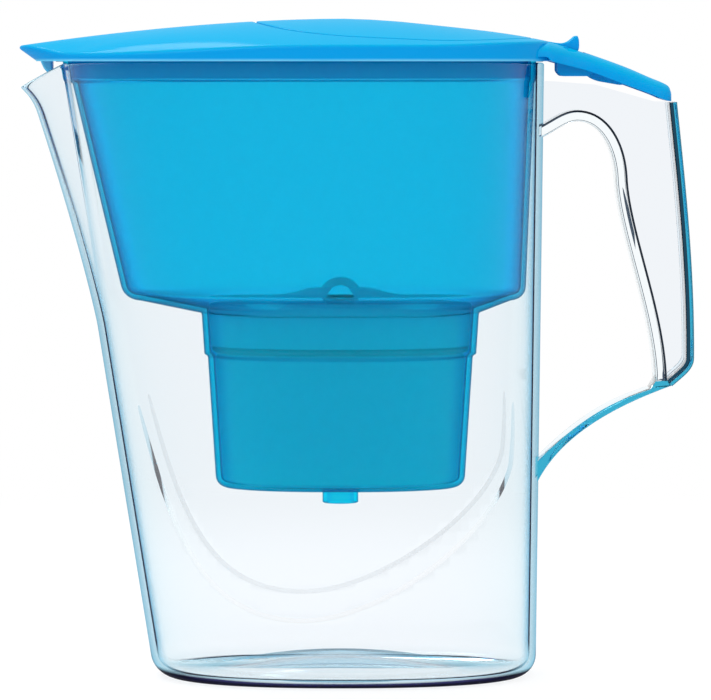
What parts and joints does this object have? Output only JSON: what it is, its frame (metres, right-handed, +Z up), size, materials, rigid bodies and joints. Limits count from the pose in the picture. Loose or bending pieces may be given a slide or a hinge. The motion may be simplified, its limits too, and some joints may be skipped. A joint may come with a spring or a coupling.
{
  "type": "water filter pitcher",
  "caption": "Slim clear jug with spout and open handle, a lift-out hopper with oval filter cartridge, and a lid with a thumb-opened flap.",
  "frame": {"origin": "middle of the base, on the plane the jug stands on", "axes": "+X from the spout to the handle, +Y across the jug, +Z up"},
  "size_m": [0.2575, 0.1048, 0.2521],
  "materials": {
    "clear_plastic": "clear moulded plastic, polished",
    "tinted_plastic": "translucent blue moulded plastic, glossy",
    "lid_plastic": "opaque blue moulded plastic, glossy",
    "flap_plastic": "opaque blue moulded plastic, glossy",
    "cartridge_plastic": "white moulded plastic, satin",
    "cap_plastic": "white moulded plastic, satin",
    "seal_rubber": "soft pale grey rubber",
    "screen_mesh": "fine white woven screen",
    "granules": "packed bed of dark carbon granules and amber resin beads"
  },
  "bodies": {
    "jug": {"pitcher_body": "clear_plastic"},
    "hopper": {"hopper": "tinted_plastic"},
    "lid": {"lid_shell": "lid_plastic"},
    "flap": {"flip_lid": "flap_plastic"},
    "cartridge": {"cartridge_shell": "cartridge_plastic", "cartridge_cap": "cap_plastic", "rim_seal": "seal_rubber", "inlet_screen": "screen_mesh", "filter_media": "granules", "outlet_screen": "screen_mesh"}
  },
  "joints": [
    {"name": "hopper_lift", "type": "slide", "parent": "jug", "child": "hopper", "axis": [0, 0, 1], "range_m": [0, 0.175]},
    {"name": "lid_lift", "type": "slide", "parent": "hopper", "child": "lid", "axis": [0, 0, 1], "range_m": [0, 0.06]},
    {"name": "flap_hinge", "type": "hinge", "parent": "lid", "child": "flap", "pos_m": [0.082, 0, 0.2398], "axis": [0, 1, 0], "range_deg": [0, 75]},
    {"name": "cartridge_lift", "type": "slide", "parent": "hopper", "child": "cartridge", "axis": [0, 0, 1], "range_m": [0, 0.07]}
  ]
}
